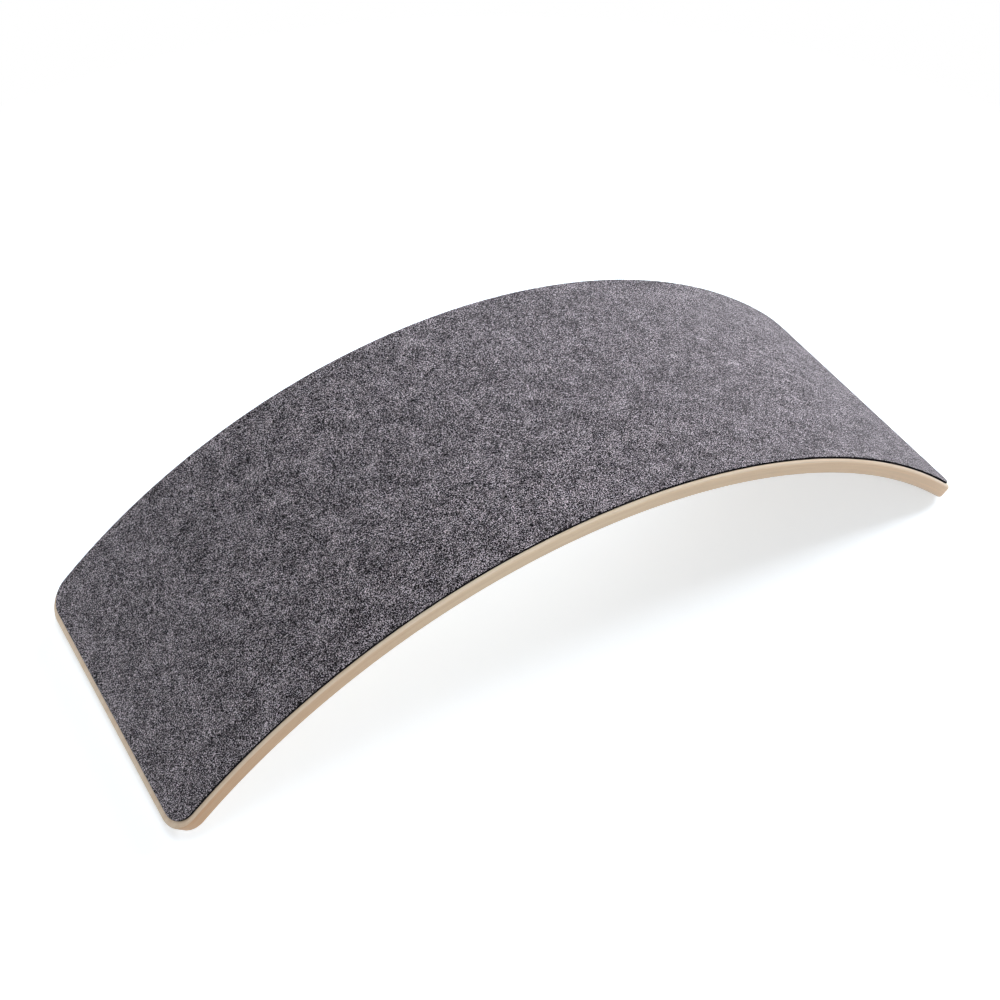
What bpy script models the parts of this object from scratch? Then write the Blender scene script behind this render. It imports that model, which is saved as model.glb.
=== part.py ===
"""Balance board: beech veneers bent and glued into an arch, with a felt cover on the convex face.

Lengths are in metres and +Z is up. The board's length runs along X and its width along Y. The origin
is on the floor under the middle of the arch, which stands on its two rounded ends.
"""

from math import cos, pi, radians, sin, sqrt

import bmesh
import bpy
from mathutils import Vector

# Outline and bend of the wooden board
BOARD_WIDTH = 0.300
BOARD_LENGTH = 0.924  # measured over the bend, along the convex face
BEND_RADIUS = 0.573  # of the convex face
CORNER_RADIUS = 0.0265  # of the four corners, seen square to the face
EDGE_ROUNDING = 0.0034  # of the rim, on both faces

# Laminate, counted from the concave face
VENEER_COUNT = 9
VENEER_THICKNESS = 0.0014
GLUE_LINE = 0.0003  # between veneers, and under the felt

# Felt cover on the convex face
FELT_THICKNESS = 0.002
FELT_SIDE_MARGIN = 0.0035  # bare wood along each side
FELT_END_MARGIN = 0.008  # bare wood at each end
FELT_CORNER_RADIUS = 0.0215
FELT_EDGE_ROUNDING = 0.0006  # of the cut edge, on the outside only

# Facets of the curved surfaces
BEND_FACETS = 40
CORNER_FACETS = 6
ROUNDING_FACETS = 4
SHORTEST_FACET = 0.0002  # a veneer's rim has no step between facets shorter than this
SHARP_EDGE = radians(35)

# Colours, linear red, green and blue
BEECH_HEARTWOOD = (0.56, 0.43, 0.31)
BEECH_SAPWOOD = (0.66, 0.53, 0.39)
FELT_GREY = (0.105, 0.098, 0.115)

BOARD_THICKNESS = VENEER_COUNT * VENEER_THICKNESS + (VENEER_COUNT - 1) * GLUE_LINE


def clear_scene():
    """Remove every object that the file opened with."""
    for thing in list(bpy.data.objects):
        bpy.data.objects.remove(thing)


def bent(along, across, height):
    """A point of the flat blank once it is bent; height is counted from the wood's convex face."""
    angle = along / BEND_RADIUS
    radius = BEND_RADIUS + height
    return Vector((radius * sin(angle), across, radius * cos(angle)))


def outline_columns(half_length, half_width, corner_radius):
    """Columns across a blank with rounded corners, as distance along the bend and half the width."""
    corner_along = half_length - corner_radius
    corner_across = half_width - corner_radius
    right = []
    for step in range(CORNER_FACETS + 1):
        turn = pi / 2 * step / CORNER_FACETS
        along = corner_along + corner_radius * sin(turn)
        across = corner_across + corner_radius * cos(turn)
        right.append((along, across))
    left = [(-along, across) for along, across in reversed(right)]
    spacing = 2 * corner_along / BEND_FACETS
    middle = [(step * spacing - corner_along, half_width) for step in range(1, BEND_FACETS)]
    return left + middle + right


def rounding_inset(depth, rounding):
    """How far an edge with this rounding stands in, at a depth below the face that it runs into."""
    missing = max(rounding - depth, 0.0)
    return rounding - sqrt(rounding**2 - missing**2)


def rounding_depths(rounding):
    """Depths below the face at which the facets of a rounding meet."""
    turns = [pi / 2 * step / ROUNDING_FACETS for step in range(ROUNDING_FACETS + 1)]
    return [rounding * (1 - cos(turn)) for turn in turns]


def veneer_rim(top, bottom):
    """Rim of one veneer, as depths below the board's convex face, each with its inset."""
    depths = rounding_depths(EDGE_ROUNDING)
    facets = depths + [BOARD_THICKNESS - depth for depth in depths]
    inside = [depth for depth in facets if top + SHORTEST_FACET < depth < bottom - SHORTEST_FACET]
    rim = []
    for depth in sorted([top, bottom] + inside):
        nearest = min(depth, BOARD_THICKNESS - depth)
        rim.append((depth, rounding_inset(nearest, EDGE_ROUNDING)))
    return rim


def felt_rim():
    """Rim of the felt, as depths below its own outer face, each with its inset."""
    rim = []
    for depth in rounding_depths(FELT_EDGE_ROUNDING):
        rim.append((depth, rounding_inset(depth, FELT_EDGE_ROUNDING)))
    rim.append((FELT_THICKNESS, 0.0))
    return rim


def bent_sheet(name, rim, face_height, half_length, half_width, corner_radius):
    """A closed sheet bent over the mould, one ring of points for each entry of its rim."""
    sheet = bmesh.new()
    rings = []
    for depth, inset in rim:
        columns = outline_columns(half_length - inset, half_width - inset, corner_radius - inset)
        near = [sheet.verts.new(bent(along, -across, face_height - depth)) for along, across in columns]
        far = [sheet.verts.new(bent(along, across, face_height - depth)) for along, across in columns]
        rings.append((near, far))

    add_cap(sheet, *rings[0], faces_up=True)
    add_cap(sheet, *rings[-1], faces_up=False)
    for upper, lower in zip(rings, rings[1:]):
        add_wall(sheet, upper, lower)

    mesh = bpy.data.meshes.new(name)
    sheet.to_mesh(mesh)
    sheet.free()
    mesh.shade_smooth()
    mesh.set_sharp_from_angle(angle=SHARP_EDGE)
    piece = bpy.data.objects.new(name, mesh)
    bpy.context.collection.objects.link(piece)
    return piece


def add_cap(sheet, near, far, faces_up):
    """Strips across the sheet, from its near side to its far side."""
    for column in range(len(near) - 1):
        strip = [near[column], near[column + 1], far[column + 1], far[column]]
        sheet.faces.new(strip if faces_up else reversed(strip))


def add_wall(sheet, upper, lower):
    """The band of rim between two rings of points."""
    upper_ring = upper[0] + upper[1][::-1]
    lower_ring = lower[0] + lower[1][::-1]
    for point in range(len(upper_ring)):
        after = (point + 1) % len(upper_ring)
        sheet.faces.new([lower_ring[point], lower_ring[after], upper_ring[after], upper_ring[point]])


def finish(name, colour, roughness):
    """A non-metallic material with one colour."""
    material = bpy.data.materials.new(name)
    material.use_nodes = True
    shader = material.node_tree.nodes["Principled BSDF"]
    shader.inputs["Base Color"].default_value = (*colour, 1.0)
    shader.inputs["Roughness"].default_value = roughness
    shader.inputs["Metallic"].default_value = 0.0
    return material


def veneer_name(number):
    """The face veneers carry the name of their face as well as their number."""
    if number == 1:
        return "veneer_1_concave_face"
    if number == VENEER_COUNT:
        return f"veneer_{number}_convex_face"
    return f"veneer_{number}"


def make_veneer(number):
    """One beech veneer, the first on the concave face and the last on the convex face."""
    name = veneer_name(number)
    top = (VENEER_COUNT - number) * (VENEER_THICKNESS + GLUE_LINE)
    rim = veneer_rim(top, top + VENEER_THICKNESS)
    veneer = bent_sheet(name, rim, 0.0, BOARD_LENGTH / 2, BOARD_WIDTH / 2, CORNER_RADIUS)
    colour = BEECH_SAPWOOD if number % 2 else BEECH_HEARTWOOD
    veneer.data.materials.append(finish(f"{name}_beech", colour, roughness=0.5))
    return veneer


def make_felt_cover():
    """The felt sheet on the convex face, set in from the wood's edges."""
    felt = bent_sheet(
        "felt_cover",
        felt_rim(),
        GLUE_LINE + FELT_THICKNESS,
        BOARD_LENGTH / 2 - FELT_END_MARGIN,
        BOARD_WIDTH / 2 - FELT_SIDE_MARGIN,
        FELT_CORNER_RADIUS,
    )
    felt.data.materials.append(finish("grey_wool_felt", FELT_GREY, roughness=0.95))
    return felt


def stand_on_floor(pieces):
    """Hang the pieces from the axis of the bend, at the height that puts the ends on the floor."""
    bend_axis = bpy.data.objects.new("bend_axis", None)
    bpy.context.collection.objects.link(bend_axis)
    for piece in pieces:
        piece.parent = bend_axis
    bend_axis.location.z = -min(point.co.z for piece in pieces for point in piece.data.vertices)


def main():
    clear_scene()
    pieces = [make_veneer(number) for number in range(1, VENEER_COUNT + 1)]
    pieces.append(make_felt_cover())
    stand_on_floor(pieces)


main()
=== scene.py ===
"""Looks of the balance board: beech plies with a lacquered finish, and a melange wool felt cover.

The board stands as an arch on its two ends. Every piece is first laid out flat, by its distance along
the bend, its distance across and its height above the wood's convex face, and is then bent. The same
flat coordinates stay on the mesh as an attribute, and the grain and the felt's fibres follow them.
"""

from math import pi, radians

import bpy
import numpy as np
from mathutils import Matrix, Vector


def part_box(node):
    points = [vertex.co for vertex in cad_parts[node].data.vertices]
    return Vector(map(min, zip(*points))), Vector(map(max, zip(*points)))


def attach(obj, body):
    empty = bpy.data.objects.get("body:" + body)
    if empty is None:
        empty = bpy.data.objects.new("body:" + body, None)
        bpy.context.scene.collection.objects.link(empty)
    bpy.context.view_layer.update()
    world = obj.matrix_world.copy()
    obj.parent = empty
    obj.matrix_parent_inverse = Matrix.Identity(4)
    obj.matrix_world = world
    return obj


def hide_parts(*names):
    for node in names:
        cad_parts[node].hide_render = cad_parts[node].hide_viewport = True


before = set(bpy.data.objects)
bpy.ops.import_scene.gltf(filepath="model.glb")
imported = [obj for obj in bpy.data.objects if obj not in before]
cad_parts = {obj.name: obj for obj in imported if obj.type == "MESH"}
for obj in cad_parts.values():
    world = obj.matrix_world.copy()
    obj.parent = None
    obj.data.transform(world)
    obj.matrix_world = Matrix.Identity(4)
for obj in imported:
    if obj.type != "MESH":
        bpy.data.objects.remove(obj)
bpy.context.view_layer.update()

# The wooden board, in metres
VENEER_COUNT = 9
FACE_VENEERS = (1, VENEER_COUNT)  # counted from the concave face
BEND_RADIUS = 0.573  # of the convex face
BOARD_LENGTH = 0.924  # over the bend, along the convex face
BOARD_THICKNESS = 0.015
CORNER_RADIUS = 0.0265
EDGE_ROUNDING = 0.0034
GLUE_SEAM = 0.00003  # what is seen of the glue between two veneers

# The felt cover, in metres
FELT_THICKNESS = 0.00225  # with the glue under it
FELT_CLEARANCE = 0.00002  # between the cover and the wood under it
FELT_SIDE_MARGIN = 0.0035  # bare wood along each side
FELT_END_MARGIN = 0.008  # bare wood at each end
FELT_CORNER_RADIUS = 0.0215
FELT_EDGE_ROUNDING = 0.0007
FELT_RELIEF = ((0.00007, 0.011, 1), (0.00005, 0.006, 2))  # height, spacing and seed of each layer

CONVEX_NODE = f"veneer_{VENEER_COUNT}_convex_face"
FELT_NODE = "felt_cover"
BOARD_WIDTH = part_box("veneer_5")[1].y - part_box("veneer_5")[0].y
BEND_AXIS_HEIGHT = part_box(CONVEX_NODE)[1].z - BEND_RADIUS

# Meshes
WOOD_STEPS_ALONG = 260
WOOD_STEPS_ACROSS = 24
WOOD_CORNER_STEPS = 14
WOOD_ROUNDING_STEPS = 10
FELT_STEPS_ALONG = 360
FELT_STEPS_ACROSS = 116
FELT_CORNER_STEPS = 12
FELT_ROUNDING_STEPS = 4
FELT_EDGE_RING = 0.35  # height of one more ring round the cut edge, as a share of the thickness
FELT_CUT_AND_SHADE_BANDS = 4  # bands of the rim that show the dark cut edge, partly painted shade, counted from the wood
SHARP_EDGE = radians(32)

MILLIMETRES = 1000.0  # textures are laid out in millimetres
FLAT_PLACE = "flat_place"  # the attribute that holds them


def bent(along, across, height):
    """Points of the flat board once it is bent; height is counted from the wood's convex face."""
    angle = along / BEND_RADIUS
    radius = BEND_RADIUS + height
    return np.stack([radius * np.sin(angle), across, radius * np.cos(angle) + BEND_AXIS_HEIGHT], axis=-1)


def columns(half_length, half_width, corner_radius, steps_along, corner_steps):
    """Columns across a sheet with rounded corners: their distances along it, and half their lengths."""
    turn = np.linspace(0, pi / 2, corner_steps + 1)
    corner_along = half_length - corner_radius
    along = corner_along + corner_radius * np.sin(turn)
    across = half_width - corner_radius + corner_radius * np.cos(turn)
    middle = np.linspace(-corner_along, corner_along, steps_along + 1)[1:-1]
    all_along = np.concatenate([-along[::-1], middle, along])
    all_across = np.concatenate([across[::-1], np.full(len(middle), half_width), across])
    return all_along, all_across


def rounding_profile(rounding, steps):
    """Depths below a face, with the inset that a rounded rim has at each."""
    turn = np.linspace(0, pi / 2, steps + 1)
    return list(zip(rounding * (1 - np.cos(turn)), rounding * (1 - np.sin(turn))))


def wood_rim(top, bottom):
    """Rim of the veneer between two depths below the convex face, as depths with their insets."""
    upper = rounding_profile(EDGE_ROUNDING, WOOD_ROUNDING_STEPS)
    lower = [(BOARD_THICKNESS - depth, inset) for depth, inset in reversed(upper)]
    depths, insets = zip(*(upper + lower))
    inside = [depth for depth in depths if top < depth < bottom]
    return [(depth, float(np.interp(depth, depths, insets))) for depth in [top, *inside, bottom]]


def felt_rim():
    """Rim of the felt, as depths below the wood's convex face, so negative, with their insets."""
    rounded = rounding_profile(FELT_EDGE_ROUNDING, FELT_ROUNDING_STEPS)
    rim = [(depth - FELT_THICKNESS, inset) for depth, inset in rounded]
    rim.append((-FELT_THICKNESS * FELT_EDGE_RING, 0.0))
    rim.append((-FELT_CLEARANCE, 0.0))
    return rim


class Sheet:
    """A closed sheet with rounded corners, laid out flat before it is bent.

    Its points are a grid for the upper face, a grid for the lower face, and a loop for each step of the
    rim between them. Every loop runs round the outline: near side, right end, far side, left end.
    """

    def __init__(
        self, rim, half_length, half_width, corner_radius, steps_along, steps_across, corner_steps
    ):
        share = np.linspace(-1, 1, steps_across + 1)
        grids = []
        for depth, inset in rim:
            size = half_length - inset, half_width - inset, corner_radius - inset
            along, across = columns(*size, steps_along, corner_steps)
            grids.append(
                np.stack(
                    [
                        np.repeat(along[:, None], len(share), axis=1),
                        across[:, None] * share[None, :],
                        np.full((len(along), len(share)), -depth),
                    ],
                    axis=-1,
                )
            )
        self.shape = grids[0].shape[:2]
        self.border = self.border_of_grid()
        loops = [grid.reshape(-1, 3)[self.border] for grid in grids[1:-1]]
        self.grid_size = self.shape[0] * self.shape[1]
        self.points = np.concatenate([grids[0].reshape(-1, 3), *loops, grids[-1].reshape(-1, 3)])
        self.loop_count = len(loops)

    def border_of_grid(self):
        """Numbers of the grid's border points, in the order of a loop."""
        rows, places = self.shape
        number = np.arange(rows * places).reshape(rows, places)
        near, far = number[:, 0], number[::-1, -1]
        right, left = number[-1, 1:-1], number[0, -2:0:-1]
        return np.concatenate([near, right, far, left])

    def faces(self):
        """Every face of the closed sheet, wound to face outwards; the bands of the rim come last."""
        rows, places = self.shape
        number = np.arange(rows * places).reshape(rows, places)
        corners = [number[:-1, :-1], number[1:, :-1], number[1:, 1:], number[:-1, 1:]]
        upper = np.stack([corner.ravel() for corner in corners], axis=-1)
        lower_start = self.grid_size + self.loop_count * len(self.border)
        lower = upper[:, ::-1] + lower_start
        loops = [self.border]
        for loop in range(self.loop_count):
            loops.append(self.grid_size + loop * len(self.border) + np.arange(len(self.border)))
        loops.append(self.border + lower_start)
        walls = []
        for above, below in zip(loops, loops[1:]):
            walls.append(np.stack([below, np.roll(below, -1), np.roll(above, -1), above], axis=-1))
        return np.concatenate([upper, lower, *walls])


def add_piece(name, flat_points, faces):
    """A bent piece of the board; its flat coordinates stay on it, in millimetres."""
    mesh = bpy.data.meshes.new(name)
    mesh.from_pydata(bent(*flat_points.T).tolist(), [], faces.tolist())
    place = mesh.attributes.new(FLAT_PLACE, "FLOAT_VECTOR", "POINT")
    place.data.foreach_set("vector", (flat_points * MILLIMETRES).astype(np.float32).ravel())
    mesh.shade_smooth()
    mesh.set_sharp_from_angle(angle=SHARP_EDGE)
    piece = bpy.data.objects.new(name, mesh)
    bpy.context.collection.objects.link(piece)
    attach(piece, "root")
    return piece


def lattice_noise(along, across, spacing, seed):
    """Smooth random heights, about -1 to 1, from a lattice of random values with that spacing."""
    random = np.random.default_rng(seed)
    size = int(BOARD_LENGTH / spacing) + 4
    values = random.uniform(-1, 1, (size, size))
    u = along / spacing + size / 2
    v = across / spacing + size / 2
    column, row = np.floor(u).astype(int), np.floor(v).astype(int)
    s, t = u - column, v - row
    s, t = s * s * (3 - 2 * s), t * t * (3 - 2 * t)
    near = values[row, column] * (1 - s) + values[row, column + 1] * s
    far = values[row + 1, column] * (1 - s) + values[row + 1, column + 1] * s
    return near * (1 - t) + far * t


# Nodes

def put(tree, kind, inputs=None, **settings):
    """Add a node. Each input is a value, or the output of another node."""
    node = tree.nodes.new(kind)
    for name, value in settings.items():
        setattr(node, name, value)
    for socket, value in (inputs or {}).items():
        if isinstance(value, bpy.types.NodeSocket):
            tree.links.new(value, node.inputs[socket])
        else:
            node.inputs[socket].default_value = value
    return node


def calculate(tree, operation, *values):
    """A Math node."""
    return put(tree, "ShaderNodeMath", dict(enumerate(values)), operation=operation).outputs[0]


def calculate_vector(tree, operation, inputs):
    """A Vector Math node whose result is a vector."""
    return put(tree, "ShaderNodeVectorMath", inputs, operation=operation).outputs["Vector"]


def rescale(tree, value, from_low, from_high, to_low, to_high):
    """A clamped Map Range node."""
    ends = {"From Min": from_low, "From Max": from_high, "To Min": to_low, "To Max": to_high}
    return put(tree, "ShaderNodeMapRange", {"Value": value, **ends}).outputs["Result"]


def blend_colours(tree, share, first, second):
    """A Mix node for colours. Each of the two is a colour, or the output of another node."""
    node = put(tree, "ShaderNodeMix", data_type="RGBA")
    for socket, value in (("Factor_Float", share), ("A_Color", first), ("B_Color", second)):
        target = next(s for s in node.inputs if s.identifier == socket)
        if isinstance(value, bpy.types.NodeSocket):
            tree.links.new(value, target)
        else:
            target.default_value = (*value, 1.0)
    return next(s for s in node.outputs if s.identifier == "Result_Color")


def flat_place(tree):
    """The flat coordinates, in millimetres: along the bend, across, and up."""
    return put(tree, "ShaderNodeAttribute", attribute_name=FLAT_PLACE).outputs["Vector"]


def stretched(tree, place, size, turn=0.0, start=(0, 0, 0)):
    """Coordinates in which a patch of that size, turned in the plane of the sheet, is one unit."""
    inputs = {"Vector": place, "Location": start, "Rotation": (0, 0, turn), "Scale": size}
    return put(tree, "ShaderNodeMapping", inputs, vector_type="TEXTURE").outputs["Vector"]


def noise(tree, place, detail, roughness=0.5):
    """A Noise Texture of size one."""
    inputs = {"Vector": place, "Scale": 1.0, "Detail": detail, "Roughness": roughness}
    return put(tree, "ShaderNodeTexNoise", inputs)


def cloudy(tree, place, detail, roughness=0.5):
    """The value of a Noise Texture of size one, from 0 to 1 with its mean near 0.5."""
    return noise(tree, place, detail, roughness).outputs[0]


def new_material(name, **constants):
    """A Principled material, its tree and its shader. Constants are set on the shader's own sockets."""
    material = bpy.data.materials.new(name)
    material.use_nodes = True
    shader = material.node_tree.nodes["Principled BSDF"]
    for socket, value in constants.items():
        shader.inputs[socket.replace("_", " ")].default_value = value
    return material, material.node_tree, shader


# Colours, linear red, green and blue
BEECH_CREAM = (0.84, 0.74, 0.615)
BEECH_PALE = (0.80, 0.655, 0.485)
BEECH_TAN = (0.70, 0.545, 0.385)
# for the left end: part wood tone, part painted shade
BEECH_ROSY_TONE_AND_SHADE = (0.62, 0.37, 0.215)
BEECH_AMBER = (0.68, 0.49, 0.33)
# darker colours for the right end: painted shade that holds back the right-hand lamps' light
BEECH_SHADED_BUFF = (0.58, 0.44, 0.32)
BEECH_SHADED_STRAW = (0.58, 0.505, 0.42)
BEECH_FLECK = (0.42, 0.25, 0.14)
FELT_DARK = (0.004, 0.0035, 0.005)
FELT_LIGHT = (0.85, 0.785, 0.88)
# the cut edge: partly the felt's darker cut fibres, partly painted shade
FELT_CUT_AND_SHADE = (0.008, 0.007, 0.009)
FELT_SHEEN = (0.93, 0.93, 1.0)

# Patterns of the wood: sizes in millimetres along the board, across it and up
GRAIN_BANDS = (160, 9, 3)
GRAIN_STREAKS = (30, 0.8, 0.5)
GRAIN_FLECKS = (2.4, 0.28, 0.3)
NEXT_VENEER = (397.0, 83.0, 11.0)  # how far the pattern moves on from one veneer to the next

# Stretches over which the wood's colour changes, in millimetres along the board from its crown
# Towards the left end the wood turns darker and redder: part wood tone, part painted shade, kept mostly
# off the lit end cut
LEFT_END_CUT = (-459, -450)
LEFT_TONE_AND_SHADE_STRETCH = (-440, -130)
TONE_AND_SHADE_ON_CUT = 0.2  # share of the left end's tone and painted shade that the lit end cut keeps

# Light grain, share of the darker, redder left-end colour (part wood tone, part painted shade), stretch
# of the darker right-hand colour (painted shade), and its light grain
FACE_LOOK = (BEECH_CREAM, 0.3, (-80, 240), BEECH_SHADED_STRAW)
CORE_LOOK = (BEECH_PALE, 1.0, (0, 400), BEECH_AMBER)

# Patterns of the felt, in millimetres
FIBRE_STRANDS = (3.4, 0.75, 0.8)
FIBRE_DIRECTIONS = 4
NEXT_DIRECTION = (71.0, 37.0, 0.0)  # how far the pattern moves on from one direction to the next
FIBRE_SWAY = 8.0
SWAY_SIZE = (4, 4, 4)
SPECKS = {"size": (1.1, 1.1, 1.1)}
CLUMPS = {"size": (4, 4, 4), "start": (50, 9, 0)}
CLOUDS = {"size": (20, 20, 20), "start": (7, 90, 0)}
CUT_LAYERS = {"size": (5, 5, 0.5)}
FELT_TONES = (-0.36, 0.66)  # tones of the darkest and of the lightest fibres
FELT_CONTRAST = 2.0


def beech(number):
    """Lacquered beech with its grain along the board; each veneer has its own part of the pattern."""
    material, tree, shader = new_material(f"beech_{number}", Roughness=0.55, Specular_IOR_Level=0.3)
    light, left_tone_and_shade, right_shade_stretch, right_shaded_light = FACE_LOOK if number in FACE_VENEERS else CORE_LOOK
    place = flat_place(tree)
    start = tuple(number * step for step in NEXT_VENEER)

    bands = cloudy(tree, stretched(tree, place, GRAIN_BANDS, start=start), detail=3)
    streaks = cloudy(tree, stretched(tree, place, GRAIN_STREAKS, start=start), detail=4, roughness=0.6)
    half_bands = calculate(tree, "MULTIPLY", bands, 0.5)
    half_streaks = calculate(tree, "MULTIPLY", streaks, 0.5)
    grain = rescale(tree, calculate(tree, "ADD", half_bands, half_streaks), 0.34, 0.66, 0.0, 1.0)
    colour = blend_colours(tree, grain, BEECH_TAN, light)

    # Darker and redder towards the left end: part wood tone, part painted shade, mostly left off the lit
    # end cut
    along = put(tree, "ShaderNodeSeparateXYZ", {0: place}).outputs[0]
    end_cut = rescale(tree, along, *LEFT_END_CUT, TONE_AND_SHADE_ON_CUT, 1.0)
    left_tone_and_shade_share = rescale(tree, along, *LEFT_TONE_AND_SHADE_STRETCH, left_tone_and_shade, 0.0)
    left_tone_and_shade_share = calculate(tree, "MULTIPLY", left_tone_and_shade_share, end_cut)
    left_tone_and_shade_colour = blend_colours(tree, grain, BEECH_ROSY_TONE_AND_SHADE, BEECH_AMBER)
    colour = blend_colours(tree, left_tone_and_shade_share, colour, left_tone_and_shade_colour)
    # Darker towards the right end: painted shade that holds back the right-hand lamps' light
    right_shade_share = rescale(tree, along, *right_shade_stretch, 0.0, 1.0)
    right_shaded_colour = blend_colours(tree, grain, BEECH_SHADED_BUFF, right_shaded_light)
    colour = blend_colours(tree, right_shade_share, colour, right_shaded_colour)

    flecks = cloudy(tree, stretched(tree, place, GRAIN_FLECKS, start=start), detail=1)
    fleck = rescale(tree, flecks, 0.66, 0.78, 0.0, 0.35)
    colour = blend_colours(tree, fleck, colour, BEECH_FLECK)
    tree.links.new(colour, shader.inputs["Base Color"])

    relief = calculate(tree, "SUBTRACT", streaks, calculate(tree, "MULTIPLY", fleck, 0.6))
    bump = put(tree, "ShaderNodeBump", {"Height": relief, "Strength": 0.12, "Distance": 0.0002})
    tree.links.new(bump.outputs[0], shader.inputs["Normal"])
    gloss = rescale(tree, streaks, 0.3, 0.7, 0.48, 0.62)
    tree.links.new(gloss, shader.inputs["Roughness"])
    return material


def fibre_tangle(tree, place):
    """Wavy strands of wool laid in several directions, the lightest on top."""
    sway = noise(tree, stretched(tree, place, SWAY_SIZE), detail=1).outputs["Color"]
    shift = calculate_vector(tree, "ADD", {0: sway, 1: (-0.5, -0.5, -0.5)})
    shift = calculate_vector(tree, "SCALE", {0: shift, "Scale": FIBRE_SWAY})
    swayed = calculate_vector(tree, "ADD", {0: place, 1: shift})
    tangle = 0.0
    for direction in range(FIBRE_DIRECTIONS):
        turn = direction * pi / FIBRE_DIRECTIONS
        start = tuple(direction * step for step in NEXT_DIRECTION)
        laid = stretched(tree, swayed, FIBRE_STRANDS, turn=turn, start=start)
        tangle = calculate(tree, "MAXIMUM", tangle, cloudy(tree, laid, detail=1))
    return tangle


def melange_felt():
    """Wool felt of dark and light fibres that lie every way."""
    material, tree, shader = new_material(
        "melange_wool_felt",
        Roughness=0.95,
        Specular_IOR_Level=0.0,
        Sheen_Weight=0.5,
        Sheen_Roughness=0.25,
        Sheen_Tint=(*FELT_SHEEN, 1.0),
    )
    place = flat_place(tree)
    clumps = cloudy(tree, stretched(tree, place, **CLUMPS), detail=2)
    patterns = (  # each with its middle and its weight
        (fibre_tangle(tree, place), 0.64, 5.0),
        (cloudy(tree, stretched(tree, place, **SPECKS), detail=1), 0.5, 5.0),
        (clumps, 0.5, 1.2),
        (cloudy(tree, stretched(tree, place, **CLOUDS), detail=2), 0.5, 0.7),
    )
    tone = 0.0
    for pattern, middle, weight in patterns:
        part = calculate(tree, "MULTIPLY", calculate(tree, "SUBTRACT", pattern, middle), weight)
        tone = calculate(tree, "ADD", tone, part)
    share = calculate(tree, "POWER", rescale(tree, tone, *FELT_TONES, 0.0, 1.0), FELT_CONTRAST)
    colour = blend_colours(tree, share, FELT_DARK, FELT_LIGHT)
    tree.links.new(colour, shader.inputs["Base Color"])

    hollows = put(tree, "ShaderNodeBump", {"Height": clumps, "Strength": 1.0, "Distance": 0.0005})
    nap = {"Height": tone, "Strength": 0.9, "Distance": 0.0003, "Normal": hollows.outputs[0]}
    bump = put(tree, "ShaderNodeBump", nap)
    tree.links.new(bump.outputs[0], shader.inputs["Normal"])
    return material


def cut_felt_and_shade():
    """The cut edge of the felt, near-black and without sheen: partly the felt's darker cut fibres,
    partly painted shade.
    """
    material, tree, shader = new_material("cut_wool_felt_and_shade", Roughness=1.0, Specular_IOR_Level=0.1)
    layers = cloudy(tree, stretched(tree, flat_place(tree), **CUT_LAYERS), detail=2)
    colour = blend_colours(tree, rescale(tree, layers, 0.4, 0.75, 0.0, 1.0), FELT_CUT_AND_SHADE, FELT_DARK)
    tree.links.new(colour, shader.inputs["Base Color"])
    return material


# Pieces

def veneer_node(number):
    """Name of a veneer's node in the frame, counted from the concave face."""
    faces = {1: "veneer_1_concave_face", VENEER_COUNT: CONVEX_NODE}
    return faces.get(number, f"veneer_{number}")


def make_veneer(number):
    """One veneer of the laminate, with only a seam of glue between it and the next."""
    pitch = BOARD_THICKNESS / VENEER_COUNT
    top = (VENEER_COUNT - number) * pitch + (GLUE_SEAM / 2 if number < VENEER_COUNT else 0.0)
    bottom = (VENEER_COUNT - number + 1) * pitch - (GLUE_SEAM / 2 if number > 1 else 0.0)
    sheet = Sheet(
        wood_rim(top, bottom),
        BOARD_LENGTH / 2,
        BOARD_WIDTH / 2,
        CORNER_RADIUS,
        WOOD_STEPS_ALONG,
        WOOD_STEPS_ACROSS,
        WOOD_CORNER_STEPS,
    )
    node = veneer_node(number)
    veneer = add_piece(f"{node}_beech", sheet.points, sheet.faces())
    veneer.data.materials.append(beech(number))
    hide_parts(node)


def make_felt():
    """The felt cover, with its soft relief and its dark cut edge, which is partly painted shade."""
    half_length = BOARD_LENGTH / 2 - FELT_END_MARGIN
    half_width = BOARD_WIDTH / 2 - FELT_SIDE_MARGIN
    sheet = Sheet(
        felt_rim(),
        half_length,
        half_width,
        FELT_CORNER_RADIUS,
        FELT_STEPS_ALONG,
        FELT_STEPS_ACROSS,
        FELT_CORNER_STEPS,
    )
    points = sheet.points
    along, across = points[:, 0], points[:, 1]
    relief = sum(
        height * lattice_noise(along, across, spacing, seed) for height, spacing, seed in FELT_RELIEF
    )
    share_of_height = np.clip(points[:, 2] / FELT_THICKNESS, 0, 1) ** 2
    points[:, 2] += relief * share_of_height
    felt = add_piece("felt_cover_wool", points, sheet.faces())
    felt.data.materials.append(melange_felt())
    felt.data.materials.append(cut_felt_and_shade())
    # The rim's bands next to the wood get the near-black cut edge, partly painted shade
    cut = np.zeros(len(felt.data.polygons), dtype=np.int32)
    cut[-FELT_CUT_AND_SHADE_BANDS * len(sheet.border) :] = 1
    felt.data.polygons.foreach_set("material_index", cut)
    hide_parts(FELT_NODE)


# Studio

WHITE = (1, 1, 1, 1)
SHADOW_DEPTH = 0.9  # how much of the floor's white is lit, and so can be shaded
SHADOW_TINT = (0.9, 1.0, 1.1)  # evens out the warm light from under the board
FLOOR_WHITE = 1.35  # what the lit floor and its own glow add up to in plain light
FLOOR_GREY = 0.82  # of the floor as the board sees it, in the light that it throws back
FLOOR_HALF_SIDE = 6.0
FLOOR_HEIGHT = -0.0001
SHADOW_REACH = (0.6, 1.0)  # metres from the origin, over which the lit floor fades to plain white
AMBIENT = 0.2


def seen_directly(tree):
    """One for camera, glossy and transmission rays, and otherwise nought."""
    path = put(tree, "ShaderNodeLightPath").outputs
    seen = calculate(tree, "MAXIMUM", path["Is Camera Ray"], path["Is Glossy Ray"])
    return calculate(tree, "MAXIMUM", seen, path["Is Transmission Ray"])


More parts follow.
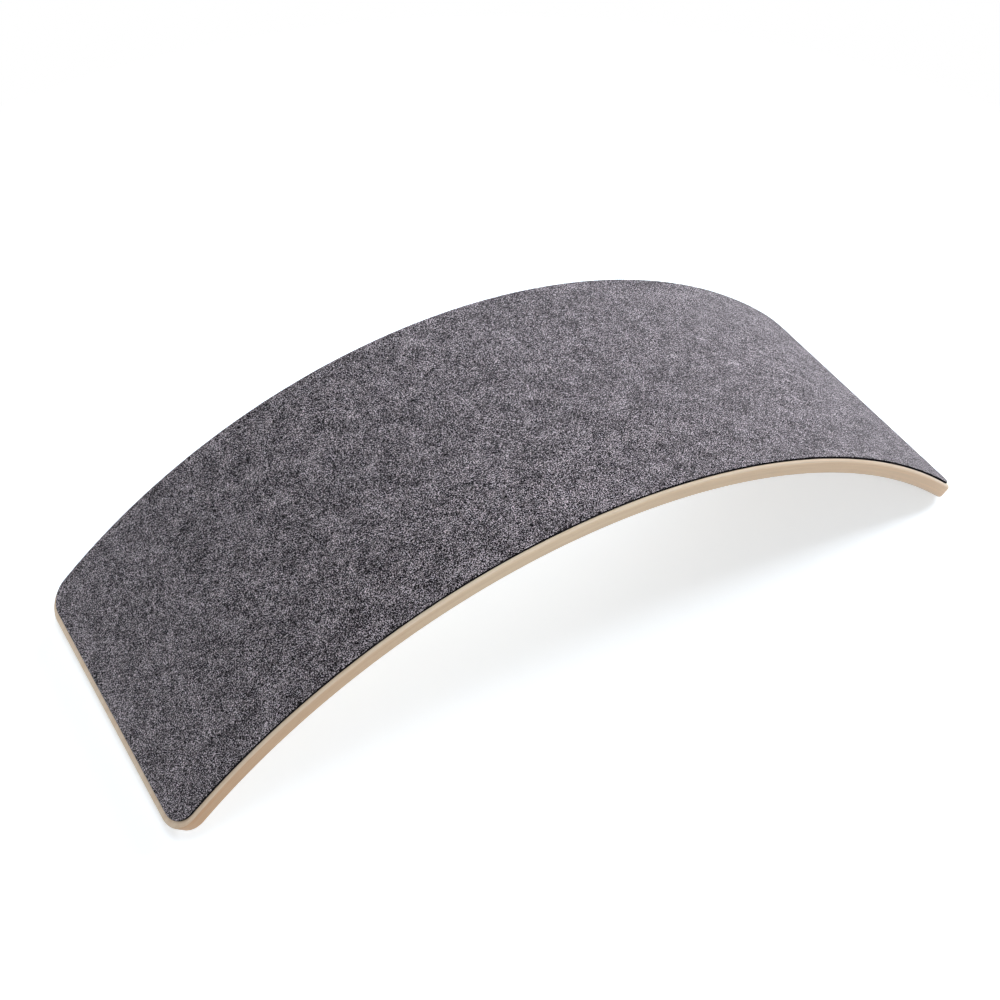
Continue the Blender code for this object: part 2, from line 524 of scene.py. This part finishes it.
def white_floor():
    """Plain white far from the board, and nearer a white that keeps its shadow."""
    material = bpy.data.materials.new("white_floor")
    material.use_nodes = True
    tree = material.node_tree
    tree.nodes.clear()
    plain = put(tree, "ShaderNodeBsdfDiffuse", {"Color": (FLOOR_GREY, FLOOR_GREY, FLOOR_GREY, 1)})
    lit_colour = (*(SHADOW_DEPTH * part for part in SHADOW_TINT), 1)
    lit = put(tree, "ShaderNodeBsdfDiffuse", {"Color": lit_colour})
    glow = put(tree, "ShaderNodeEmission", {"Color": WHITE, "Strength": FLOOR_WHITE - SHADOW_DEPTH})
    near = put(tree, "ShaderNodeAddShader", {0: lit.outputs[0], 1: glow.outputs[0]})
    far = put(tree, "ShaderNodeEmission", {"Color": WHITE, "Strength": 1.0})
    place = put(tree, "ShaderNodeNewGeometry").outputs["Position"]
    distance = put(tree, "ShaderNodeVectorMath", {0: place}, operation="LENGTH").outputs["Value"]
    fade = rescale(tree, distance, *SHADOW_REACH, 0.0, 1.0)
    seen = put(tree, "ShaderNodeMixShader", {0: fade, 1: near.outputs[0], 2: far.outputs[0]})
    either = {0: seen_directly(tree), 1: plain.outputs[0], 2: seen.outputs[0]}
    mixed = put(tree, "ShaderNodeMixShader", either)
    put(tree, "ShaderNodeOutputMaterial", {"Surface": mixed.outputs[0]})
    return material


def make_floor():
    """A large square floor, just under the board's ends."""
    mesh = bpy.data.meshes.new("floor")
    side = FLOOR_HALF_SIDE
    corners = [(-side, -side), (side, -side), (side, side), (-side, side)]
    mesh.from_pydata([(x, y, FLOOR_HEIGHT) for x, y in corners], [], [(0, 1, 2, 3)])
    mesh.materials.append(white_floor())
    floor = bpy.data.objects.new("floor", mesh)
    bpy.context.collection.objects.link(floor)


def make_world():
    """Soft light from all round, and plain white where the camera sees past the floor."""
    world = bpy.data.worlds.new("studio")
    bpy.context.scene.world = world
    world.use_nodes = True
    tree = world.node_tree
    background = tree.nodes["Background"]
    background.inputs["Color"].default_value = WHITE
    strength = rescale(tree, seen_directly(tree), 0, 1, AMBIENT, 1.0)
    tree.links.new(strength, background.inputs["Strength"])


LAMP_TARGET = Vector((0, 0, 0.1))
LAMPS = (  # name, place, side in metres and watts
    ("overhead_softbox", (0, 0, 2.2), 1.2, 14.0),
    ("back_right_softbox", (1.2, 1.2, 0.6), 0.8, 20.0),
    ("right_softbox", (1.2, 0, 0.8), 0.8, 13.5),
    ("front_fill", (-0.7, -2.1, 1.4), 1.2, 17.0),
    ("left_fill", (-1.0, 0.6, 0.3), 0.5, 1.8),
)


def add_lamp(name, place, size, watts):
    """A square area lamp that faces the board."""
    light = bpy.data.lights.new(name, "AREA")
    light.shape = "SQUARE"
    light.size = size
    light.energy = watts
    lamp = bpy.data.objects.new(name, light)
    bpy.context.collection.objects.link(lamp)
    lamp.location = place
    lamp.visible_camera = False
    lamp.rotation_mode = "QUATERNION"
    lamp.rotation_quaternion = (LAMP_TARGET - Vector(place)).to_track_quat("-Z", "Y")


CAMERA_PLACE = Vector((-0.6127, -0.9873, 1.2236))
CAMERA_HEADING = radians(30.94)  # clockwise from +Y
CAMERA_DIP = radians(44.81)
CAMERA_ROLL = radians(1.15)
CAMERA_SENSOR = 36.0  # millimetres wide
CAMERA_LENS = 63.78


def make_camera():
    """A camera at the photograph's place and viewing angle."""
    data = bpy.data.cameras.new("camera")
    data.sensor_width = CAMERA_SENSOR
    data.lens = CAMERA_LENS
    camera = bpy.data.objects.new("camera", data)
    bpy.context.collection.objects.link(camera)
    turn = Matrix.Rotation(-CAMERA_HEADING, 4, "Z") @ Matrix.Rotation(pi / 2 - CAMERA_DIP, 4, "X")
    camera.matrix_world = Matrix.Translation(CAMERA_PLACE) @ turn @ Matrix.Rotation(CAMERA_ROLL, 4, "Z")
    bpy.context.scene.camera = camera


bpy.context.scene.view_settings.view_transform = "Standard"
for number in range(1, VENEER_COUNT + 1):
    make_veneer(number)
make_felt()
make_floor()
make_world()
for lamp in LAMPS:
    add_lamp(*lamp)
make_camera()
